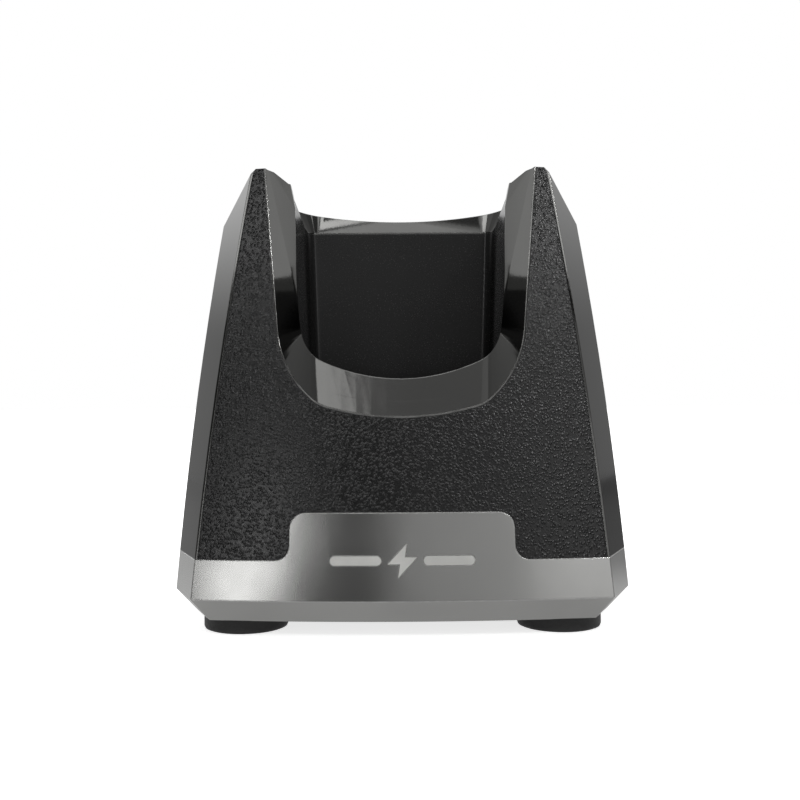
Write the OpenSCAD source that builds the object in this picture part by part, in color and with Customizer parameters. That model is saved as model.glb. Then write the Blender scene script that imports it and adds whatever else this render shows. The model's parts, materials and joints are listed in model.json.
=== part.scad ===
// Charging stand for a cordless hair clipper. Millimetres, +Z up, front towards -Y.
// The origin is on the table, at the centre of the base.

/* [Base] */
// Widest width, at the lower edge of the metal band
base_w = 103; // [101:0.5:106]
// Depth at the same level
base_d = 90; // [88:0.5:93]
// Height of the band's lower edge above the table
band_low = 8.8; // [8.4:0.1:9.4]
// Height of the band's upper edge
band_top = 17.2; // [16.8:0.1:17.8]
// How far the band's lower bevel runs inwards
bevel_in = 4.7; // [4.2:0.1:4.8]
// Height of the underside above the table
underside = 3.6; // [3.4:0.1:4]
// Radius of a rubber foot
foot_r = 9.5; // [8:0.1:9.6]

/* [Body] */
// Height of the rim at the back, on the centre line
rim_z = 99.5; // [98:0.5:100]
// Height of the two horns
horn_z = 106.4; // [105.4:0.2:107]
// Lean of the front and the back, in degrees
lean = 13; // [12.5:0.5:13.5]
// Radius of the front's bow, seen from above
bow_r = 303; // [290:1:320]
// Thickness of the housing, the panel and the band
wall = 2.4; // [2.2:0.1:2.6]

/* [Front] */
// Height of the notch's lowest point
notch_z = 47.8; // [47:0.1:49]
// Half width of the tab on the band
tab_x = 24.3; // [22:0.1:26]
// Height of the tab's top
tab_z = 27.2; // [26:0.1:29]

/* [Pocket] */
// Half width of the pocket near the rim
pocket_x = 25; // [24.5:0.1:25.5]
// Front wall of the pocket on the centre line
pocket_front = -28; // [-28.5:0.1:-27.5]
// Back wall of the pocket near the rim
pocket_back = 14; // [13:0.1:14.5]
// Height of the pocket's floor
floor_z = 26; // [26:0.1:26.6]
// Thickness of the pocket's lining
liner_t = 2; // [1.8:0.1:2.2]

/* [Charging contacts] */
// Half the distance between the two pins
pin_x = 5; // [4.5:0.1:6]
// Radius of a pin
pin_r = 1.1; // [1:0.05:1.2]
// How far a pin can be pushed down
pin_travel = 1.5; // [1:0.1:1.6]

/* [Hidden] */

gap = 0.05;                 // air between two pieces that are assembled together
big = 400;                  // longer than anything in the stand
arc_fn = 720;               // for the bow
long_arc_fn = 2880;         // for the still longer arcs of the sides
round_fn = 64;

// side walls: a tall arc that starts almost upright and bends inwards
side_r = 880;
side_tilt = 2.1;
// flat corner strips: their angle seen from above, and the arc they follow upwards
strip_turn = 23.4;
strip_r = 1305;
strip_tilt = 8.4;
strip_reach = 58.2 + (base_w - 103) / 2;
front_y = -base_d / 2;

// top, seen from the side: the horn's top and its steep back, then a chamfer at the rear
horn_front_y = front_y + 22;
horn_back = [[-14.6, 104.4], [-11.4, 99]];
rim_end_y = 20.5;
// the rim behind the horns is hollowed like a saddle
saddle_r = 125;
// top, seen from the front: chamfers of the horns, inwards and outwards
roof_low_in = [26.6, horn_z - 3.2];
roof_peak_in = [31.2, horn_z];
roof_in = [33.3, horn_z];
roof_out = [43.5, 95.6];

// notch, in the plane of the front: x, and distance up the slope from the band's lower edge
notch_v = (notch_z - band_low) / cos(lean);
notch_floor_r = 80;
notch_corner_r = 8;
notch_side = [3.8, notch_v + 22.3];            // centre of the right side's arc
notch_side_r = 24.8;
notch_flare = 5.7;                             // the sides lean outwards above the arcs
notch_end_v = notch_v + 72;
throat_depth = 10;                             // the notch narrows over this depth
throat_x = 23.2;
throat_v = notch_v + 17.1;
throat_corner_r = 6;
throat_floor_r = 110;

// pocket: widths are given at the height draft_z, and the walls draw in below it
draft_z = 95;
side_draft = tan(2);
wall_draft = tan(1);
pocket_front_r = 60;
back_fillet = 2.9;
front_fillet = 6;
lip_z = notch_z + 8.5;
// bevel of the rim, which fades out towards the horns
flare_in = 5.5;
flare_top_z = rim_z + 5;
flare_hinge_y = -13;
flare_drop = 3.6;
// the horns' inner faces lean outwards
horn_face_z = [rim_z - 2.5, rim_z + 9];
horn_face_lean = 2.2;
rim_seam_z = rim_z - 0.2;
trim_t = 1.6;
trim_edge = 0.35;                              // width of the trim that shows beside the panel

// inside
plate_top = 6.6;
foot_x = 35.7;
foot_y = 26.5;
foot_seat = 0.6;
foot_spigot_r = 6.5;
screw_head_t = 1.4;
boss_top = 25;
ledge_z = [25, 27.5];
ear_top = 31;
ear_x = 31.5;
ear_y = [-19, 3];
board_top = 17.2;
board_t = 1.6;
board_size = [38, 22];
mid_y = -7;                                    // centre of the pocket floor
liner_bottom = floor_z - 2.2;
board_screw_x = 14;
ballast_top = 13.4;
ballast_screw = [20, 26];
pin_tip_z = floor_z + pin_travel + 1.1;
flange_r = 1.9;
flange_top = 22.5;
spring_r = 1.45;
spring_wire_r = 0.2;
spring_turns = 4.5;
jack_z = 26;
jack_face_y = 36;
jack_back_y = 22;
jack_bore_r = 3.1;
recess_x = 8.5;
recess_z = [19.5, 33];
recess_wall = 2;
lead_x = 2.5;
lead_z = 21.3;
lead_r = 0.65;
lead_bend = 2.5;
lead_end_y = 2.5;

// ---------------------------------------------------------------- outer form

module mirrored(direction) {
    intersection() {
        children();
        mirror(direction) children();
    }
}

// the leaning, bowed front; the back is its mirror image
module bow(inset) {
    translate([0, front_y, band_low]) rotate([-lean, 0, 0]) translate([0, bow_r, 0])
        cylinder(r = bow_r - inset, h = big, center = true, $fn = arc_fn);
}

module side_arc(inset) {
    translate([base_w / 2 - side_r * cos(side_tilt), 0, band_low - side_r * sin(side_tilt)])
        rotate([90, 0, 0]) cylinder(r = side_r - inset, h = big, center = true, $fn = long_arc_fn);
}

module strip_arc(inset) {
    rotate([0, 0, -strip_turn])
        translate([strip_reach - strip_r * cos(strip_tilt), 0, band_low - strip_r * sin(strip_tilt)])
            rotate([90, 0, 0]) cylinder(r = strip_r - inset, h = big, center = true, $fn = long_arc_fn);
}

// everything but the top: the upright form, each surface moved inwards by inset
module upright(inset) {
    intersection() {
        mirrored([1, 0, 0]) side_arc(inset);
        mirrored([0, 1, 0]) bow(inset);
        mirrored([1, 0, 0]) strip_arc(inset);
        mirror([0, 1, 0]) mirrored([1, 0, 0]) strip_arc(inset);
    }
}

module slab(z0, z1) {
    translate([0, 0, (z0 + z1) / 2]) cube([big, big, z1 - z0], center = true);
}

// a profile in the plane of Y and Z, right across the stand
module across() {
    rotate([90, 0, 90]) linear_extrude(big, center = true) children();
}

module top_profile() {
    peak = horn_back[0];
    steep = (horn_back[1] - peak) / (peak[1] - horn_back[1][1]);
    chamfer = rim_z + rim_end_y;
    difference() {
        across() polygon([[-80, -10], [80, -10], [80, chamfer - 80], [chamfer - peak[1], peak[1]],
                          peak, [horn_front_y, horn_z], [-80, horn_z]]);
        intersection() {
            translate([0, 0, rim_z + saddle_r]) rotate([90, 0, 0])
                cylinder(r = saddle_r, h = big, center = true, $fn = arc_fn);
            across() polygon([peak + steep * 20, [80, peak[1] - 20], [80, peak[1] + 20], peak - steep * 20]);
        }
    }
}

module roof_profile(lower = 0) {
    drop = (roof_in[1] - roof_out[1]) / (roof_out[0] - roof_in[0]);
    far = 70;
    far_z = roof_in[1] - (far - roof_in[0]) * drop;
    translate([0, 0, -lower]) rotate([90, 0, 0]) linear_extrude(big, center = true)
        polygon(both_halves([[0, -10], [far, -10], [far, far_z], roof_in, roof_peak_in, roof_low_in,
                             [0, roof_low_in[1]]]));
}

// the stand's outside above the band
module form() {
    intersection() {
        upright(0);
        top_profile();
        roof_profile();
        slab(band_top, horn_z + 1);
    }
}

// the inward slope below the band, on all eight faces
module bevel(inset) {
    tilt = atan(bevel_in / (band_low - underside));
    bevel_r = bow_r * cos(lean) / cos(tilt);
    intersection() {
        mirrored([0, 1, 0]) translate([0, front_y, band_low]) rotate([tilt, 0, 0])
            translate([0, bevel_r, 0]) cylinder(r = bevel_r - inset, h = big, center = true, $fn = arc_fn);
        for_bevel(0, base_w / 2, tilt, inset);
        for_bevel(strip_turn, strip_reach, tilt, inset);
        for_bevel(-strip_turn, strip_reach, tilt, inset);
    }
}

// one flat slope and its opposite
module for_bevel(turn, reach, tilt, inset) {
    for_side = [turn, turn + 180];
    intersection_for(a = for_side) rotate([0, 0, a]) translate([reach, 0, band_low]) rotate([0, tilt, 0])
        translate([-big - inset, -big / 2, -big / 2]) cube(big);
}

// the outside, slope included; each surface moved inwards by inset
module band_form(inset) {
    intersection() {
        upright(inset);
        bevel(inset);
    }
}

// ---------------------------------------------------------------- notch and pocket

function arc(centre, r, from, to, steps) = [for (i = [0:steps])
    let(a = from + (to - from) * i / steps) [centre[0] + r * cos(a), centre[1] + r * sin(a)]];

// a closed outline from its right half, which starts on the centre line
function both_halves(half) = concat(half, [for (i = [len(half) - 1:-1:1]) [-half[i][0], half[i][1]]]);

// centre of the corner arc that touches a floor arc and a side arc from inside
function corner_centre(floor_c, floor_reach, side_c, side_reach) =
    let(d = side_c - floor_c,
        apart = norm(d),
        along = (pow(floor_reach, 2) - pow(side_reach, 2) + pow(apart, 2)) / (2 * apart),
        across = sqrt(pow(floor_reach, 2) - pow(along, 2)))
    floor_c + d / apart * along + [-d[1], d[0]] / apart * across;

module notch_outline(grow) {
    floor_c = [0, notch_v + notch_floor_r];
    corner = corner_centre(floor_c, notch_floor_r - notch_corner_r, notch_side, notch_side_r - notch_corner_r);
    low = atan2(corner[1] - floor_c[1], corner[0]);
    high = atan2(corner[1] - notch_side[1], corner[0] - notch_side[0]);
    side_r = notch_side_r + grow;
    top_x = notch_side[0] + side_r / cos(notch_flare) + (notch_end_v - notch_side[1]) * tan(notch_flare);
    polygon(both_halves(concat(
        arc(floor_c, notch_floor_r + grow, -90, low, 5),
        arc(corner, notch_corner_r + grow, low + 6, high - 6, 4),
        arc(notch_side, side_r, high, -notch_flare, 9),
        [[top_x, notch_end_v]])));
}

module throat_outline(grow) {
    floor_c = [0, throat_v + throat_floor_r];
    reach = throat_floor_r - throat_corner_r;
    corner_x = throat_x - throat_corner_r;
    corner = [corner_x, floor_c[1] - sqrt(pow(reach, 2) - pow(corner_x, 2))];
    low = atan2(corner[1] - floor_c[1], corner_x);
    polygon(both_halves(concat(
        arc(floor_c, throat_floor_r + grow, -90, low, 5),
        arc(corner, throat_corner_r + grow, low + 10, 0, 7),
        [[throat_x + grow, notch_end_v]])));
}

// the funnel from the front face into the pocket, its walls moved outwards by grow
module funnel(grow) {
    translate([0, front_y, band_low]) rotate([90 - lean, 0, 0]) hull() {
        linear_extrude(0.5) notch_outline(grow);
        translate([0, 0, -throat_depth]) linear_extrude(0.5) throat_outline(grow);
    }
}

// the pocket at one height: flat back, bowed front, rounded corners
module pocket_outline(z, grow) {
    half = pocket_x - (draft_z - z) * side_draft;
    front = pocket_front + (lip_z - z) * wall_draft;
    back = pocket_back - (draft_z - z) * wall_draft;
    bow_c = [0, front + pocket_front_r];
    corner_x = half - front_fillet;
    corner = [corner_x, bow_c[1] - sqrt(pow(pocket_front_r - front_fillet, 2) - pow(corner_x, 2))];
    low = atan2(corner[1] - bow_c[1], corner_x);
    polygon(both_halves(concat(
        arc(bow_c, pocket_front_r + grow, -90, low, 7),
        arc(corner, front_fillet + grow, low + 10, 0, 6),
        arc([half - back_fillet, back - back_fillet], back_fillet + grow, 0, 90, 6),
        [[0, back + grow]])));
}

module pocket(grow, z0, z1) {
    hull() {
        translate([0, 0, z0]) linear_extrude(0.01) pocket_outline(z0, grow);
        translate([0, 0, z1 - 0.01]) linear_extrude(0.01) pocket_outline(z1, grow);
    }
}

module rim_part(z, grow, from_y) {
    intersection() {
        pocket_outline(z, grow);
        translate([-big / 2, from_y]) square(big);
    }
}

// the inner faces of the horns, above the seam between rim and lining
module horn_faces(grow) {
    hull() {
        translate([0, 0, horn_face_z[0]]) linear_extrude(0.01) pocket_outline(draft_z, grow);
        translate([0, 0, horn_face_z[1]]) linear_extrude(0.01) pocket_outline(draft_z, grow + horn_face_lean);
    }
}

// the bevel around the pocket's rim; its skin reaches forward to the funnel's
module rim_flare(grow) {
    from_y = flare_hinge_y - 3 * grow;
    hull() {
        translate([0, 0, flare_top_z]) linear_extrude(0.3) rim_part(rim_z, flare_in + grow, from_y);
        translate([0, flare_hinge_y, rim_z])
            rotate([-atan(flare_drop / (pocket_back - flare_hinge_y)), 0, 0])
                translate([0, -flare_hinge_y, -0.01]) linear_extrude(0.01) rim_part(draft_z, grow, from_y);
    }
}

// ---------------------------------------------------------------- housing

module at_feet() {
    for (sx = [-1, 1], sy = [-1, 1]) translate([sx * foot_x, sy * foot_y, 0]) children();
}

module at_ears() {
    for (s = [-1, 1], y = ear_y) translate([s * ear_x, y, 0]) children();
}

// bosses for the base screws with their webs, and the ledges that carry the pocket
module shell_ribs() {
    low = plate_top + 0.2;
    into_wall = 0.6;
    intersection() {
        band_form(wall + into_wall);
        union() {
            at_feet() translate([0, 0, low]) cylinder(r = 4, h = boss_top - low, $fn = round_fn);
            for (sx = [-1, 1], sy = [-1, 1])
                translate([sx * (foot_x + 8), sy * foot_y, (low + boss_top) / 2])
                    cube([14, 2, boss_top - low], center = true);
        }
    }
    intersection() {
        upright(wall - into_wall);
        for (s = [-1, 1]) translate([s * 40, mid_y, (ledge_z[0] + ledge_z[1]) / 2])
            cube([23, 34, ledge_z[1] - ledge_z[0]], center = true);
    }
}

module jack_recess(grow) {
    translate([-recess_x - grow, jack_face_y - grow, recess_z[0] - grow])
        cube([2 * (recess_x + grow), 20, recess_z[1] - recess_z[0] + 2 * grow]);
}

module shell_body() {
    difference() {
        union() {
            form();
            // skirt that reaches down inside the metal band
            intersection() {
                band_form(wall + gap);
                slab(plate_top + 0.2, band_top + 1);
            }
        }
        intersection() {
            band_form(2 * wall);
            slab(0, band_top + 2);
        }
        intersection() {
            upright(wall);
            mirrored([0, 1, 0]) bow(2 * wall + 0.1);
            roof_profile(wall);
            slab(band_top + 1.9, rim_z - 3);
        }
        // seat of the front panel
        difference() {
            intersection() {
                mirrored([1, 0, 0]) strip_arc(0.5);
                slab(band_top - 0.5, horn_z + 5);
                translate([-big / 2, -big, 0]) cube([big, big, big]);
            }
            bow(wall + 2 * gap);
        }
    }
}

module outer_shell() {
    color([0.42, 0.42, 0.41]) difference() {
        union() {
            shell_body();
            shell_ribs();
            intersection() {
                jack_recess(recess_wall);
                upright(0.1);
            }
        }
        jack_recess(0);
        funnel(trim_t + gap);
        pocket(liner_t + gap, floor_z, rim_z + 12);
        horn_faces(liner_t + gap);
        rim_flare(trim_t + gap);
        translate([0, jack_face_y - 5, jack_z]) rotate([-90, 0, 0])
            cylinder(r = 5 + gap, h = 10, $fn = round_fn);
        at_feet() translate([0, 0, plate_top]) cylinder(r = 1.5, h = 14, $fn = round_fn);
        at_ears() translate([0, 0, ledge_z[0] - 1]) cylinder(r = 1.7, h = 6, $fn = round_fn);
    }
}

module tab_outline(grow) {
    corner = 3.4;
    foot = 3;
    x = tab_x + grow;
    top = tab_z + grow;
    foot_z = band_top + grow;
    polygon(both_halves(concat(
        [[0, band_top - 1], [x + foot + 2, band_top - 1], [x + foot + 2, foot_z]],
        arc([x + foot, foot_z + foot], foot, -90, -180, 8),
        arc([x - corner, top - corner], corner, 0, 90, 8),
        [[0, top]])));
}

// an outline seen from the front, taken through the front of the stand
module through_front() {
    rotate([90, 0, 0]) linear_extrude(80) children();
}

module front_panel() {
    color([0.13, 0.13, 0.13]) difference() {
        intersection() {
            mirrored([1, 0, 0]) strip_arc(0.5 + gap);
            mirrored([0, 1, 0]) bow(0);
            top_profile();
            roof_profile();
            slab(band_top + gap, horn_z + 1);
        }
        bow(wall);
        funnel(trim_edge + gap);
        through_front() tab_outline(gap);
    }
}

module mouth_trim() {
    color([0.5, 0.5, 0.5]) difference() {
        intersection() {
            union() {
                funnel(trim_edge);
                intersection() {
                    funnel(trim_t);
                    bow(wall + gap);
                }
            }
            form();
        }
        funnel(0);
        pocket(0, floor_z, rim_z + 12);
        horn_faces(0);
        rim_flare(0);
    }
}

// the bevelled rim of the pocket, with the horns' inner faces
module rim_trim() {
    color([0.47, 0.47, 0.47]) difference() {
        intersection() {
            union() {
                rim_flare(trim_t);
                intersection() {
                    horn_faces(liner_t);
                    slab(rim_seam_z, horn_z + 5);
                }
            }
            form();
        }
        funnel(trim_t + gap);
        pocket(0, floor_z, rim_z + 12);
        horn_faces(0);
        rim_flare(0);
    }
}

module cradle() {
    color([0.09, 0.09, 0.09]) difference() {
        union() {
            difference() {
                intersection() {
                    pocket(liner_t, liner_bottom, rim_seam_z - gap);
                    form();
                }
                funnel(trim_t + gap);
                rim_flare(trim_t + gap);
            }
            for (s = [-1, 1], y = ear_y) translate([s * 30, y, (ledge_z[1] + gap + ear_top) / 2])
                cube([13, 9, ear_top - ledge_z[1] - gap], center = true);
            for (s = [-1, 1]) translate([s * board_screw_x, mid_y, board_top])
                cylinder(r = 2.6, h = liner_bottom - board_top + 1, $fn = round_fn);
        }
        pocket(0, floor_z, rim_z + 12);
        horn_faces(0);
        for (s = [-1, 1]) {
            translate([s * pin_x, mid_y, liner_bottom - 1]) cylinder(r = pin_r + 0.08, h = 9, $fn = round_fn);
            translate([s * board_screw_x, mid_y, board_top - 1]) cylinder(r = 0.9, h = 6.8, $fn = round_fn);
        }
        at_ears() translate([0, 0, ledge_z[0]]) cylinder(r = 1.3, h = ear_top - ledge_z[0] - 0.6, $fn = round_fn);
    }
}

// ---------------------------------------------------------------- base

module mark_outline() {
    mid_z = 17.2;
    bolt = [[0.9, 3.5], [-3.1, -0.7], [-0.5, -0.7], [-0.9, -3.5], [3.1, 0.7], [0.5, 0.7]];
    translate([0, mid_z]) polygon(bolt);
    for (s = [-1, 1]) translate([s * 10, mid_z]) {
        square([9, 1.9], center = true);
        for (e = [-1, 1]) translate([e * 4.5, 0]) circle(0.95, $fn = 32);
    }
}

module base_band() {
    color([0.72, 0.72, 0.7]) difference() {
        intersection() {
            band_form(0);
            union() {
                slab(underside, band_top);
                through_front() tab_outline(0);
            }
        }
        band_form(wall);
        difference() {
            through_front() mark_outline();
            bow(0.5);
        }
    }
}

module front_mark() {
    color([0.82, 0.82, 0.8]) intersection() {
        difference() {
            bow(-0.15);
            bow(0.5);
        }
        through_front() mark_outline();
    }
}

module bottom_plate() {
    color([0.1, 0.1, 0.1]) difference() {
        intersection() {
            band_form(wall + gap);
            slab(underside, plate_top);
        }
        at_feet() {
            translate([0, 0, underside - 1]) cylinder(r = foot_spigot_r + 0.1, h = 1 + foot_seat, $fn = round_fn);
            cylinder(r = 3.1, h = underside + foot_seat + screw_head_t, $fn = round_fn);
            cylinder(r = 1.6, h = 20, $fn = round_fn);
        }
        for (s = [-1, 1]) translate([s * ballast_screw[0], s * ballast_screw[1], underside + 1])
            cylinder(r = 1.5, h = 10, $fn = round_fn);
    }
}

module foot(sx, sy) {
    seat_z = underside + foot_seat;
    color([0.07, 0.07, 0.07]) translate([sx * foot_x, sy * foot_y, 0]) rotate_extrude($fn = 96)
        polygon([[0, 0.5], [foot_r - 3.4, 0.5], [foot_r - 2.8, 0], [foot_r - 0.7, 0], [foot_r - 0.2, 0.2],
                 [foot_r, 0.7], [foot_r, underside], [foot_spigot_r, underside],
                 [foot_spigot_r, seat_z], [0, seat_z]]);
}

module foot_front_left() { foot(-1, -1); }
module foot_front_right() { foot(1, -1); }
module foot_rear_left() { foot(-1, 1); }
module foot_rear_right() { foot(1, 1); }

// a cross-head screw that points up, its head's underside at the origin
module screw(head_r, head_t, shank_r, length) {
    difference() {
        union() {
            translate([0, 0, -head_t]) cylinder(r = head_r, h = head_t, $fn = round_fn);
            cylinder(r = shank_r, h = length, $fn = round_fn);
        }
        for (a = [0, 90]) rotate([0, 0, a]) translate([0, 0, -head_t])
            cube([head_r * 1.2, head_r * 0.25, head_t * 0.9], center = true);
    }
}

module base_screws() {
    color("silver") at_feet() translate([0, 0, underside + foot_seat + screw_head_t])
        screw(3, screw_head_t - gap, 1.5, 12);
}

module cradle_screws() {
    color("silver") at_ears() translate([0, 0, ledge_z[0]]) screw(2.8, 1.7, 1.3, 5);
}

module ballast_screws() {
    color("silver") for (s = [-1, 1]) translate([s * ballast_screw[0], s * ballast_screw[1], ballast_top])
        rotate([180, 0, 0]) screw(2.8, 1.8, 1.5, ballast_top - underside - 1.2);
}

module ballast() {
    size = [58, 68];
    corner = 6;
    color([0.45, 0.45, 0.47]) difference() {
        translate([0, 0, plate_top + gap]) linear_extrude(ballast_top - plate_top - gap) union() {
            square([size[0] - 2 * corner, size[1]], center = true);
            square([size[0], size[1] - 2 * corner], center = true);
            for (sx = [-1, 1], sy = [-1, 1])
                translate([sx * (size[0] / 2 - corner), sy * (size[1] / 2 - corner)])
                    circle(corner, $fn = round_fn);
        }
        for (s = [-1, 1]) translate([s * ballast_screw[0], s * ballast_screw[1], 0])
            cylinder(r = 1.7, h = 30, $fn = round_fn);
    }
}

// ---------------------------------------------------------------- electrics

module circuit_board() {
    color([0.05, 0.3, 0.15]) difference() {
        translate([0, mid_y, board_top - board_t / 2]) cube([board_size[0], board_size[1], board_t], center = true);
        for (s = [-1, 1]) translate([s * board_screw_x, mid_y, board_top - board_t - 1])
            cylinder(r = 1.1, h = board_t + 2, $fn = round_fn);
    }
}

module board_fuse() {
    color([0.75, 0.72, 0.62]) translate([9, mid_y + 7.5, board_top + 0.8]) cube([6, 2.6, 1.6], center = true);
}

module board_screws() {
    color("silver") for (s = [-1, 1]) translate([s * board_screw_x, mid_y, board_top - board_t])
        screw(1.9, 1.5, 0.9, 6);
}

module contact_block() {
    height = liner_bottom - board_top;
    color([0.2, 0.2, 0.22]) difference() {
        translate([0, mid_y, board_top + height / 2]) cube([18, 8, height - 2 * gap], center = true);
        for (s = [-1, 1]) translate([s * pin_x, mid_y, board_top - 1]) {
            cylinder(r = flange_r + 0.1, h = flange_top + gap - board_top + 1, $fn = round_fn);
            cylinder(r = pin_r + 0.08, h = 12, $fn = round_fn);
        }
    }
}

module contact_pin(side) {
    tip = 0.6;
    color([0.83, 0.68, 0.35]) translate([side * pin_x, mid_y, 0]) rotate_extrude($fn = round_fn)
        polygon([[0, flange_top - 1], [flange_r, flange_top - 1], [flange_r, flange_top], [pin_r, flange_top],
                 [pin_r, pin_tip_z - tip], [pin_r - tip * 0.3, pin_tip_z - tip * 0.35],
                 [pin_r - tip, pin_tip_z], [0, pin_tip_z]]);
}

module contact_pin_left() { contact_pin(-1); }
module contact_pin_right() { contact_pin(1); }

module contact_spring(side) {
    sides = 8;
    rings_per_turn = 12;
    rings = spring_turns * rings_per_turn;
    low = board_top + 0.06 + spring_wire_r;
    rise = flange_top - 1 - 0.06 - spring_wire_r - low;
    points = [for (i = [0:rings], k = [0:sides - 1]) let(
        turn = i * 360 / rings_per_turn,
        a = k * 360 / sides,
        r = spring_r + spring_wire_r * cos(a))
        [r * cos(turn), r * sin(turn), low + rise * i / rings + spring_wire_r * sin(a)]];
    skin = [for (i = [0:rings - 1], k = [0:sides - 1]) let(n = (k + 1) % sides)
        [i * sides + k, (i + 1) * sides + k, (i + 1) * sides + n, i * sides + n]];
    first = [for (k = [0:sides - 1]) k];
    last = [for (k = [sides - 1:-1:0]) rings * sides + k];
    color("silver") translate([side * pin_x, mid_y, 0])
        polyhedron(points, concat(skin, [first, last]));
}

module contact_spring_left() { contact_spring(-1); }
module contact_spring_right() { contact_spring(1); }

module dc_jack() {
    color([0.08, 0.08, 0.08]) difference() {
        union() {
            translate([-5.5, jack_back_y, jack_z - 5.5])
                cube([11, jack_face_y - recess_wall - gap - jack_back_y, 12]);
            translate([0, jack_face_y - recess_wall - 1, jack_z]) rotate([-90, 0, 0])
                cylinder(r = 5, h = recess_wall + 1, $fn = round_fn);
        }
        translate([0, jack_back_y + 4, jack_z]) rotate([-90, 0, 0])
            cylinder(r = jack_bore_r, h = 20, $fn = round_fn);
        translate([0, jack_back_y - 1, jack_z]) rotate([-90, 0, 0]) cylinder(r = 1, h = 10, $fn = round_fn);
        translate([-1.3, jack_back_y + 4, jack_z - 4.2]) cube([2.6, 8, 4]);
    }
}

module jack_pin() {
    color("silver") translate([0, jack_back_y - 1, jack_z]) rotate([-90, 0, 0]) {
        cylinder(r = 1 - 0.02, h = 5.1, $fn = round_fn);
        translate([0, 0, 5 + gap]) cylinder(r = 1.05, h = 8.2, $fn = round_fn);
    }
}

module jack_leaf() {
    color("silver") translate([-1.1, jack_back_y + 4.2, jack_z - 3.9]) cube([2.2, 7.6, 0.35]);
}

// a lead from the inlet's back, bent down onto the board
module lead(side) {
    start_y = jack_back_y - gap;
    bend_y = lead_end_y + lead_bend;
    translate([side * lead_x, 0, 0]) {
        translate([0, bend_y, lead_z]) rotate([-90, 0, 0]) cylinder(r = lead_r, h = start_y - bend_y, $fn = 32);
        intersection() {
            translate([0, bend_y, lead_z - lead_bend]) rotate([0, 90, 0])
                rotate_extrude($fn = round_fn) translate([lead_bend, 0]) circle(lead_r, $fn = 32);
            translate([-2, bend_y - 10, lead_z - lead_bend]) cube([4, 10, 10]);
        }
        translate([0, lead_end_y, board_top + gap])
            cylinder(r = lead_r, h = lead_z - lead_bend - board_top - gap, $fn = 32);
    }
}

module lead_red() { color([0.7, 0.05, 0.05]) lead(1); }
module lead_black() { color([0.05, 0.05, 0.05]) lead(-1); }

outer_shell();
front_panel();
mouth_trim();
rim_trim();
cradle();
base_band();
front_mark();
bottom_plate();
ballast();
ballast_screws();
base_screws();
cradle_screws();
foot_front_left();
foot_front_right();
foot_rear_left();
foot_rear_right();
contact_block();
contact_pin_left();
contact_pin_right();
contact_spring_left();
contact_spring_right();
circuit_board();
board_fuse();
board_screws();
dc_jack();
jack_pin();
jack_leaf();
lead_red();
lead_black();
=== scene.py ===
"""Looks of the charging stand: materials, smooth skins for the plated and moulded pieces, light and camera."""
import json
import math

import bmesh
import bpy
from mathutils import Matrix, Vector

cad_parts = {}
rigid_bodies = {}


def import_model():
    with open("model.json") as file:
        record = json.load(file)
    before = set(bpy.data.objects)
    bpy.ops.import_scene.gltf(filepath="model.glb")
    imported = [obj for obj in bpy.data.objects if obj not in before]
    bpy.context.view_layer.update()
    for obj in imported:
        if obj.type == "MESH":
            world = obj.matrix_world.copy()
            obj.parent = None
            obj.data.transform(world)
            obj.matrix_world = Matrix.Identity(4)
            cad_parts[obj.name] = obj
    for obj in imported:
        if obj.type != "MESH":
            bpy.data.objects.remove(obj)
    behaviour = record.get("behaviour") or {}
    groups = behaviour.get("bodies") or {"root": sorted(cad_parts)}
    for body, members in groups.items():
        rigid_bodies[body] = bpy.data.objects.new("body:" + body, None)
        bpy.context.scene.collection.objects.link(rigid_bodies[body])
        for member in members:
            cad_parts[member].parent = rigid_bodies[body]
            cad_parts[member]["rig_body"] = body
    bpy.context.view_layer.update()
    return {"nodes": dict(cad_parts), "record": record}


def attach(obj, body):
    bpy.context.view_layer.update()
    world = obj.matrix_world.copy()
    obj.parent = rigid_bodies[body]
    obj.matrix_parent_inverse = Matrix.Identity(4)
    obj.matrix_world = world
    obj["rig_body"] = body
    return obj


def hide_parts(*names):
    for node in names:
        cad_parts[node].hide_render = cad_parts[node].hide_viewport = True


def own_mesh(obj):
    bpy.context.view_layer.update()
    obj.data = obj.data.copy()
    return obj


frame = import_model()
nodes = frame["nodes"]
body_of_node = {n: o["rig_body"] for n, o in nodes.items()}
slot_of_node = {s["node"]: s["material_slot"] for s in frame["record"]["subparts"]}

MM = 0.001
WELD = 0.002 * MM             # vertices closer than this are one
BEVEL_SAMPLES = 6
FLAT_COSINE, TURNED_COSINE = 0.995, 0.93      # how far the rounded normal turns: not at all, and fully an edge
MOULD_EDGE = 0.25 * MM        # edge radius of moulded pieces


# ---------------------------------------------------------------- node helpers

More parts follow.
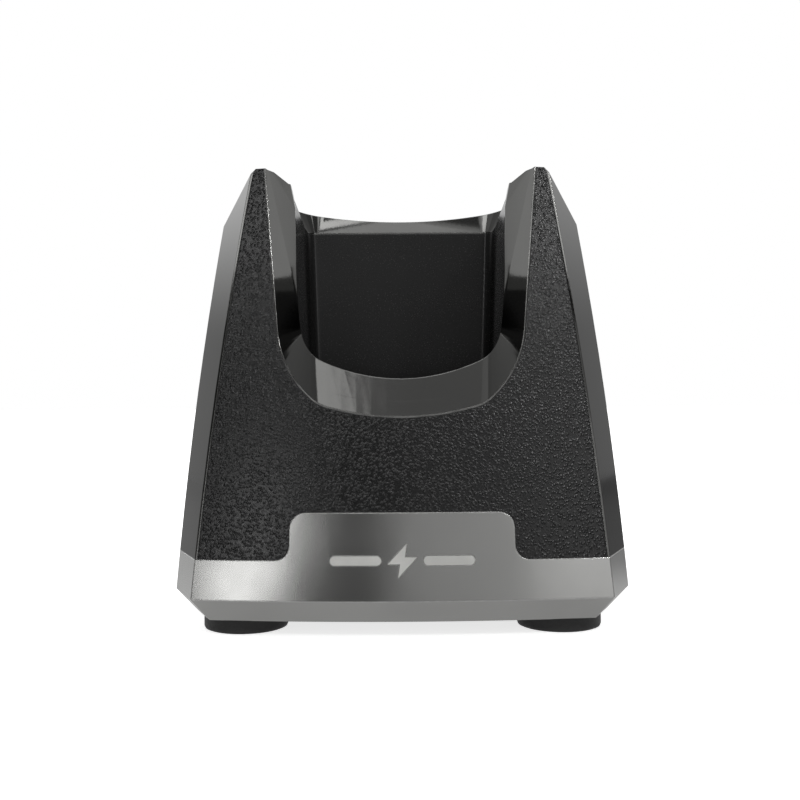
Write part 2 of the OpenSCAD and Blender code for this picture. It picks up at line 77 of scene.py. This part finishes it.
class Graph:
    """A material under construction, with short calls for the nodes that every material here uses."""

    def __init__(self, name):
        self.material = bpy.data.materials.new(name)
        self.material.use_nodes = True
        self.tree = self.material.node_tree
        self.tree.nodes.clear()
        self.out = self.tree.nodes.new("ShaderNodeOutputMaterial")
        self.shader = self.tree.nodes.new("ShaderNodeBsdfPrincipled")
        self.tree.links.new(self.shader.outputs[0], self.out.inputs[0])
        self.place = self.tree.nodes.new("ShaderNodeTexCoord").outputs["Object"]

    def put(self, socket, value):
        if isinstance(value, bpy.types.NodeSocket):
            self.tree.links.new(value, socket)
        elif isinstance(value, tuple) and len(value) == 3 and socket.type == "RGBA":
            socket.default_value = (*value, 1.0)
        else:
            socket.default_value = value

    def add(self, kind, output=0, settings=None, **inputs):
        node = self.tree.nodes.new(kind)
        for key, value in (settings or {}).items():
            setattr(node, key, value)
        for key, value in inputs.items():
            self.put(node.inputs[key.replace("_", " ")], value)
        return node.outputs[output]

    def stretched(self, x, y, z):
        return self.add("ShaderNodeMapping", Vector=self.place, Scale=(x, y, z))

    def noise(self, per_metre, detail=2.0, rough=0.5, place=None):
        return self.add("ShaderNodeTexNoise", Vector=place or self.place, Scale=per_metre, Detail=detail,
                        Roughness=rough)

    def cells(self, per_metre, feature, place):
        return self.add("ShaderNodeTexVoronoi", "Distance", {"feature": feature}, Vector=place, Scale=per_metre)

    def span(self, value, low, high, to_low=0.0, to_high=1.0):
        node = self.tree.nodes.new("ShaderNodeMapRange")
        node.interpolation_type = "SMOOTHSTEP"
        for index, entry in enumerate((value, low, high, to_low, to_high)):
            self.put(node.inputs[index], entry)
        return node.outputs[0]

    def maths(self, operation, first, second=0.0):
        node = self.tree.nodes.new("ShaderNodeMath")
        node.operation = operation
        self.put(node.inputs[0], first)
        self.put(node.inputs[1], second)
        return node.outputs[0]

    def mix(self, share, first, second, kind="RGBA"):
        node = self.tree.nodes.new("ShaderNodeMix")
        node.data_type = kind
        first_input, second_input, result = {"RGBA": (6, 7, 2), "FLOAT": (2, 3, 0)}[kind]
        self.put(node.inputs[0], share)
        self.put(node.inputs[first_input], first)
        self.put(node.inputs[second_input], second)
        return node.outputs[result]

    def rounded(self, radius):
        """Normals that turn over an edge, as if it had this radius."""
        return self.add("ShaderNodeBevel", settings={"samples": BEVEL_SAMPLES}, Radius=radius)

    def edge(self, radius):
        """1 on edges, 0 on flat faces."""
        node = self.tree.nodes.new("ShaderNodeVectorMath")
        node.operation = "DOT_PRODUCT"
        self.put(node.inputs[0], self.rounded(radius))
        self.put(node.inputs[1], self.add("ShaderNodeNewGeometry", "True Normal"))
        return self.span(node.outputs["Value"], FLAT_COSINE, TURNED_COSINE)

    def bump(self, height, depth, normal):
        return self.add("ShaderNodeBump", Height=height, Distance=depth, Strength=1.0, Normal=normal)

    def finish(self, **inputs):
        for key, value in inputs.items():
            self.put(self.shader.inputs[key.replace("_", " ")], value)
        return self.material


def plated(name, colour, pale, gloss, edge_radius, smudge=0.08, grazing=1.0, peel_depth=0.003 * MM):
    """Plated plastic: faint orange peel, smudges in the gloss, edges painted paler as a highlight line, broken up
    by noise.
    """
    g = Graph(name)
    cloud = g.noise(38, 3, 0.55)
    # Edges painted paler as a highlight line, broken up by noise.
    painted_edge_highlight = g.maths("MULTIPLY", g.edge(edge_radius), g.span(g.noise(240, 4, 0.6), 0.35, 0.7, 0.25, 1.0))
    tone = g.mix(g.span(cloud, 0.3, 0.7), colour, tuple(c * 0.93 for c in colour))
    tone = g.mix(g.maths("MULTIPLY", painted_edge_highlight, 0.6), tone, pale)
    rough = g.span(cloud, 0.3, 0.75, gloss, gloss + smudge)
    peel = g.bump(g.noise(900, 2, 0.5), peel_depth, g.rounded(edge_radius))
    return g.finish(Base_Color=tone, Metallic=1.0, Roughness=rough, Normal=peel,
                    Specular_Tint=(grazing, grazing, grazing))


def grained(name, colour, pale):
    """Moulded black with a fine pebbled grain that glints where a pebble faces a light, and a few paler specks."""
    g = Graph(name)
    warped = g.mix(0.0004, g.place, g.add("ShaderNodeTexNoise", 1, Vector=g.place, Scale=900.0, Detail=1.0))
    pebbles = g.cells(1600, "F1", warped)
    fine = g.noise(5200, 2, 0.6)
    specks = g.span(g.noise(2200, 1, 0.5), 0.6, 0.7)
    height = g.maths("ADD", g.span(pebbles, 0.05, 0.62, 1.0, 0.0), g.maths("MULTIPLY", fine, 0.25))
    # Painted shade in the grain: the valleys between the pebbles are darker than their tops.
    tone = g.mix(g.span(pebbles, 0.2, 0.6), colour, tuple(c * 0.55 for c in colour))
    tone = g.mix(specks, tone, pale)
    tone = g.mix(g.maths("MULTIPLY", g.edge(MOULD_EDGE), 0.5), tone, pale)
    rough = g.span(fine, 0.3, 0.7, 0.18, 0.28)
    return g.finish(Base_Color=tone, Roughness=rough, Specular_IOR_Level=0.5,
                    Normal=g.bump(height, 0.055 * MM, g.rounded(MOULD_EDGE)))


def glossy(name, colour, gloss=0.08, coat=0.6, edge_radius=0.2 * MM):
    """Polished moulded plastic with dust, fine swirls and soft edges."""
    g = Graph(name)
    cloud = g.noise(60, 3, 0.6)
    dust = g.span(g.noise(4200, 1, 0.5), 0.66, 0.76)
    swirls = g.noise(1, 3, 0.7, g.stretched(2600, 2600, 90))
    tone = g.mix(g.span(cloud, 0.3, 0.7), colour, tuple(c * 0.8 for c in colour))
    tone = g.mix(g.maths("MULTIPLY", dust, 0.12), tone, (0.25, 0.24, 0.22))
    rough = g.maths("ADD", g.span(cloud, 0.3, 0.8, gloss, gloss + 0.06),
                    g.maths("ADD", g.span(swirls, 0.55, 0.8, 0.0, 0.06), g.maths("MULTIPLY", dust, 0.3)))
    return g.finish(Base_Color=tone, Roughness=rough, Coat_Weight=coat, Coat_Roughness=0.05,
                    Normal=g.bump(g.noise(500, 2, 0.5), 0.004 * MM, g.rounded(edge_radius)))


def moulded(name, colour, pale, rough_low=0.4, rough_high=0.6, grain_per_metre=2600, depth=0.02 * MM):
    """Plain moulded plastic or rubber with a fine spark-eroded texture."""
    g = Graph(name)
    grain = g.noise(grain_per_metre, 3, 0.65)
    cloud = g.noise(45, 3, 0.5)
    tone = g.mix(g.span(cloud, 0.3, 0.7), colour, tuple(c * 0.75 for c in colour))
    tone = g.mix(g.maths("MULTIPLY", g.edge(MOULD_EDGE), 0.55), tone, pale)
    return g.finish(Base_Color=tone, Roughness=g.span(grain, 0.3, 0.7, rough_low, rough_high),
                    Normal=g.bump(grain, depth, g.rounded(MOULD_EDGE)))


def metal(name, colour, gloss=0.25, brush=(400, 400, 6000)):
    """Bare or zinc-plated metal with brushing."""
    g = Graph(name)
    lines = g.noise(1, 3, 0.6, g.stretched(*brush))
    cloud = g.noise(150, 3, 0.6)
    tone = g.mix(g.span(cloud, 0.3, 0.7), colour, tuple(c * 0.8 for c in colour))
    rough = g.maths("ADD", g.span(lines, 0.3, 0.7, gloss, gloss + 0.12), g.span(cloud, 0.5, 0.8, 0.0, 0.08))
    return g.finish(Base_Color=tone, Metallic=1.0, Roughness=rough,
                    Normal=g.bump(lines, 0.004 * MM, g.rounded(0.1 * MM)))


def board(name):
    """Solder mask with buried copper tracks."""
    g = Graph(name)
    tracks = g.cells(420, "DISTANCE_TO_EDGE", g.stretched(1, 0.35, 1))
    line = g.span(tracks, 0.05, 0.09)
    weave = g.noise(1, 2, 0.5, g.stretched(3500, 500, 3500))
    tone = g.mix(line, (0.02, 0.16, 0.06), (0.008, 0.07, 0.028))
    tone = g.mix(g.span(weave, 0.4, 0.7, 0.0, 0.25), tone, (0.05, 0.2, 0.09))
    return g.finish(Base_Color=tone, Roughness=g.span(weave, 0.3, 0.7, 0.25, 0.4),
                    Normal=g.bump(line, -0.03 * MM, g.rounded(0.1 * MM)))


MATERIALS = {
    "dark_chrome": plated("dark_chrome", (0.115, 0.115, 0.112), (0.35, 0.35, 0.34), 0.05, 0.3 * MM, 0.05, 0.6),
    "satin_chrome": plated("satin_chrome", (0.42, 0.42, 0.41), (0.8, 0.8, 0.78), 0.18, 0.4 * MM, 0.05, 1.0,
                           0.0008 * MM),
    "textured_black": grained("textured_black", (0.0035, 0.0035, 0.0035), (0.04, 0.04, 0.04)),
    "gloss_black": glossy("gloss_black", (0.016, 0.016, 0.016), 0.2, 0.0),
    "pale_mark": glossy("pale_mark", (0.8, 0.8, 0.77), 0.3, 0.2, 0.08 * MM),
    "black_base": moulded("black_base", (0.018, 0.018, 0.018), (0.05, 0.05, 0.05)),
    "black_rubber": moulded("black_rubber", (0.016, 0.016, 0.016), (0.04, 0.04, 0.04), 0.42, 0.62, 1800),
    "ballast_steel": metal("ballast_steel", (0.35, 0.35, 0.36), 0.35),
    "screw_steel": metal("screw_steel", (0.58, 0.58, 0.59), 0.22),
    "spring_steel": metal("spring_steel", (0.5, 0.5, 0.5), 0.2),
    "contact_gold": metal("contact_gold", (0.86, 0.62, 0.26), 0.14),
    "block_plastic": moulded("block_plastic", (0.05, 0.05, 0.055), (0.1, 0.1, 0.1)),
    "board_green": board("board_green"),
    "fuse_ceramic": glossy("fuse_ceramic", (0.6, 0.56, 0.45), 0.2, 0.3),
    "jack_plastic": moulded("jack_plastic", (0.015, 0.015, 0.015), (0.05, 0.05, 0.05), 0.3, 0.45),
    "jack_metal": metal("jack_metal", (0.62, 0.62, 0.6), 0.2),
    "wire_red": glossy("wire_red", (0.5, 0.02, 0.02), 0.3, 0.2),
    "wire_black": glossy("wire_black", (0.015, 0.015, 0.015), 0.3, 0.2),
}

# ---------------------------------------------------------------- pieces


def skin(node, sharp_degrees):
    """A copy of a CAD node with shared vertices and normals that run smoothly up to its sharp edges."""
    mesh = bpy.data.meshes.new(node + "_skin")
    bm = bmesh.new()
    bm.from_mesh(nodes[node].data)
    bmesh.ops.remove_doubles(bm, verts=bm.verts, dist=WELD)
    bm.to_mesh(mesh)
    bm.free()
    if "custom_normal" in mesh.attributes:
        mesh.attributes.remove(mesh.attributes["custom_normal"])
    mesh.shade_smooth()
    mesh.set_sharp_from_angle(angle=math.radians(sharp_degrees))
    piece = bpy.data.objects.new(node + "_skin", mesh)
    bpy.context.scene.collection.objects.link(piece)
    mesh.materials.append(MATERIALS[slot_of_node[node]])
    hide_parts(node)
    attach(piece, body_of_node[node])
    return piece


for name, cad in nodes.items():
    cad.data.materials.clear()
    cad.data.materials.append(MATERIALS[slot_of_node[name]])

# The angle, in degrees, from which an edge of the piece stays sharp.
SHARP_FROM = {"outer_shell": 12, "front_panel": 20, "mouth_trim": 24, "rim_trim": 24, "cradle": 24, "base_band": 12}
SPRING_SHARP_FROM = 60

for name, degrees in SHARP_FROM.items():
    skin(name, degrees)

for side in ("left", "right"):
    spring = skin("contact_spring_" + side, SPRING_SHARP_FROM)
    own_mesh(spring)

# ---------------------------------------------------------------- floor, light, camera

FLOOR_HALF_SIDE = 6.0
# FLOOR_TONE_MIRRORED is the floor's colour in what the object mirrors: painted shade in the object's reflections of
# the floor.
FLOOR_TONE, FLOOR_TONE_ALT, FLOOR_TONE_MIRRORED = (0.93, 0.93, 0.93), (0.95, 0.95, 0.95), (0.3, 0.3, 0.3)
# The floor's own light as the camera sees it: near the object, and from FLOOR_FAR metres out. It glows less near
# the object, a painted shadow around it.
FLOOR_NEAR, FLOOR_FAR = 0.05, 0.2
FLOOR_LIGHT_NEAR, FLOOR_LIGHT_FAR = 0.75, 1.0
# The floor's own light as the object mirrors it: in front of it, and behind it from its left to its right.
FLOOR_MIRRORED_FRONT = 0.42
FLOOR_MIRRORED_BEHIND = (0.34, 0.04)
FLOOR_SIDES, FLOOR_BEHIND = 0.15, 0.12        # how far out, in metres, the mirrored light has changed over

# What the object mirrors of the room: dark in front, paler behind, a little darker on the right, with a glow
# above the horizon behind.
ROOM_FRONT, ROOM_BACK, ROOM_RIGHT = 0.06, 0.55, 0.85
BACK_GLOW, BACK_GLOW_RIGHT = 1.6, 0.4
# Where each changes over, along one axis of the direction, a unit vector.
ROOM_DEPTH, ROOM_WIDTH = (-0.6, 0.7), (-0.5, 0.5)
GLOW_DEPTH, GLOW_RISE, GLOW_WIDTH = (0.55, 0.8), (0.13, 0.33), (-0.4, 0.4)

LIGHT_TARGET = Vector((0, 0, 0.05))
# name, azimuth, elevation, distance, width, height, radiance, roll
SOFTBOXES = (
    ("front_left", -22.5, 15, 1.2, 0.15, 0.27, 3.9, -42),
    ("front_right", 19.5, 18, 1.3, 0.96, 0.5, 0.42, 0),
    ("right_end", 29, 15, 1.2, 0.36, 0.3, 0.62, 0),
    ("high_front", 0, 39, 1.4, 1.8, 0.2, 3.0, 0),
    ("side_left", -105, 27, 1.3, 0.85, 0.32, 0.85, 0),
    ("side_right", 105, 27, 1.3, 0.85, 0.32, 0.85, 0),
    ("glints", 40, 38, 1.2, 0.1, 0.1, 45, 0),
)
# name, left, right, front, back, radiance, turn, height
OVERHEADS = (
    ("over_lip_left", 0.018, 0.338, -0.15, 0.2, 1.75, 14, 1.25),
    ("over_lip", -0.2, 0.03, -0.15, 0.2, 0.21, 0, 1.3),
    ("over_lip_right", -0.45, -0.2, -0.15, 0.2, 0.3, 0, 1.25),
    ("over_rim", -0.03, 0.022, -0.5, -0.16, 1.5, 0, 1.25),
    ("over_rim_right", 0.022, 0.05, -0.5, -0.16, 0.8, 0, 1.25),
    ("over_rim_spot", -0.085, -0.045, -0.5, -0.16, 3.6, 0, 1.25),
    ("over_back", -0.6, 0.6, 0.3, 0.9, 1.2, 0, 1.25),
)

CAMERA_LENS, CAMERA_SENSOR, CAMERA_CLIP = 45.9, 36.0, 0.01
CAMERA_PLACE = (-0.0003, -0.26, 0.0514)
CAMERA_PITCH, CAMERA_ROLL = 90, 0.35


def stage_material():
    """White to the camera, glowing less near the object as a painted shadow; greyer in what the object mirrors, a
    painted shade in its reflections. Only the floor has this.
    """
    g = Graph("studio_floor")
    away = g.tree.nodes.new("ShaderNodeVectorMath")
    away.operation = "LENGTH"
    g.put(away.inputs[0], g.place)
    seen = g.tree.nodes.new("ShaderNodeLightPath").outputs["Is Camera Ray"]
    parts = g.tree.nodes.new("ShaderNodeSeparateXYZ")
    g.put(parts.inputs[0], g.place)
    behind = g.span(parts.outputs["X"], -FLOOR_SIDES, FLOOR_SIDES, *FLOOR_MIRRORED_BEHIND)
    mirrored = g.span(parts.outputs["Y"], 0.0, FLOOR_BEHIND, FLOOR_MIRRORED_FRONT, behind)
    shown = g.span(away.outputs["Value"], FLOOR_NEAR, FLOOR_FAR, FLOOR_LIGHT_NEAR, FLOOR_LIGHT_FAR)
    pale = g.mix(g.noise(3, 2), FLOOR_TONE, FLOOR_TONE_ALT)
    return g.finish(Base_Color=g.mix(seen, FLOOR_TONE_MIRRORED, pale),
                    Roughness=g.span(g.noise(20, 2), 0.3, 0.7, 0.7, 0.8), Specular_IOR_Level=0.1,
                    Emission_Color=(1.0, 1.0, 1.0), Emission_Strength=g.mix(seen, mirrored, shown, "FLOAT"))


def floor():
    half = FLOOR_HALF_SIDE
    mesh = bpy.data.meshes.new("floor")
    mesh.from_pydata([(-half, -half, 0), (half, -half, 0), (half, half, 0), (-half, half, 0)], [], [(0, 1, 2, 3)])
    piece = bpy.data.objects.new("floor", mesh)
    bpy.context.scene.collection.objects.link(piece)
    mesh.materials.append(stage_material())


def softbox(name, azimuth, elevation, distance, width, height, radiance, roll):
    """A rectangular light that faces the object. Azimuth 0 is in front of it, 90 on its right."""
    a, e = math.radians(azimuth), math.radians(elevation)
    way = Vector((math.sin(a) * math.cos(e), -math.cos(a) * math.cos(e), math.sin(e)))
    light = bpy.data.lights.new(name, "AREA")
    light.shape = "RECTANGLE"
    light.size, light.size_y = width, height
    light.energy = radiance * math.pi * width * height
    lamp = bpy.data.objects.new(name, light)
    lamp.location = LIGHT_TARGET + way * distance
    lamp.rotation_mode = "QUATERNION"
    lamp.rotation_quaternion = way.to_track_quat("Z", "Y")
    lamp.rotation_mode = "XYZ"
    lamp.rotation_euler.rotate_axis("Z", math.radians(roll))
    lamp.visible_camera = False
    bpy.context.scene.collection.objects.link(lamp)


def overhead(name, left, right, front, back, radiance, turn, height):
    """A rectangular light above the object that faces straight down; its edges are in metres from the middle."""
    light = bpy.data.lights.new(name, "AREA")
    light.shape = "RECTANGLE"
    light.size, light.size_y = right - left, back - front
    light.energy = radiance * math.pi * light.size * light.size_y
    lamp = bpy.data.objects.new(name, light)
    lamp.location = ((left + right) / 2, (front + back) / 2, height)
    lamp.rotation_euler = (0, 0, math.radians(turn))
    lamp.visible_camera = False
    bpy.context.scene.collection.objects.link(lamp)


def studio_world():
    """White behind the object; what it mirrors is a grey room, dark in front and paler behind."""
    world = bpy.data.worlds.new("studio")
    bpy.context.scene.world = world
    world.use_nodes = True
    tree = world.node_tree
    tree.nodes.clear()
    new, link = tree.nodes.new, tree.links.new
    parts = new("ShaderNodeSeparateXYZ")
    link(new("ShaderNodeTexCoord").outputs["Generated"], parts.inputs[0])

    def ramp(axis, low, high, to_low, to_high):
        node = new("ShaderNodeMapRange")
        node.interpolation_type = "SMOOTHSTEP"
        link(parts.outputs[axis], node.inputs[0])
        for index, value in enumerate((low, high, to_low, to_high)):
            node.inputs[index + 1].default_value = value
        return node.outputs[0]

    product = new("ShaderNodeMath")
    product.operation = "MULTIPLY"
    link(ramp("Y", *ROOM_DEPTH, ROOM_FRONT, ROOM_BACK), product.inputs[0])
    link(ramp("X", *ROOM_WIDTH, 1.0, ROOM_RIGHT), product.inputs[1])
    glow = new("ShaderNodeMath")
    glow.operation = "MULTIPLY"
    link(ramp("Y", *GLOW_DEPTH, 0.0, BACK_GLOW), glow.inputs[0])
    link(ramp("Z", *GLOW_RISE, 0.0, 1.0), glow.inputs[1])
    side = new("ShaderNodeMath")
    side.operation = "MULTIPLY_ADD"
    link(glow.outputs[0], side.inputs[0])
    link(ramp("X", *GLOW_WIDTH, 1.0, BACK_GLOW_RIGHT), side.inputs[1])
    link(product.outputs[0], side.inputs[2])
    room = new("ShaderNodeBackground")
    room.inputs[0].default_value = (1, 1, 1, 1)
    link(side.outputs[0], room.inputs[1])
    white = new("ShaderNodeBackground")
    white.inputs[0].default_value = (1, 1, 1, 1)
    white.inputs[1].default_value = 1.0
    either = new("ShaderNodeMixShader")
    link(new("ShaderNodeLightPath").outputs["Is Camera Ray"], either.inputs[0])
    link(room.outputs[0], either.inputs[1])
    link(white.outputs[0], either.inputs[2])
    link(either.outputs[0], new("ShaderNodeOutputWorld").inputs[0])


floor()
studio_world()
for settings in SOFTBOXES:
    softbox(*settings)
for settings in OVERHEADS:
    overhead(*settings)

view = bpy.data.cameras.new("camera")
view.lens = CAMERA_LENS
view.sensor_width = CAMERA_SENSOR
view.clip_start = CAMERA_CLIP
camera = bpy.data.objects.new("camera", view)
camera.location = CAMERA_PLACE
camera.rotation_euler = (math.radians(CAMERA_PITCH), math.radians(CAMERA_ROLL), 0)
bpy.context.scene.collection.objects.link(camera)
bpy.context.scene.camera = camera
bpy.context.scene.view_settings.view_transform = "Standard"
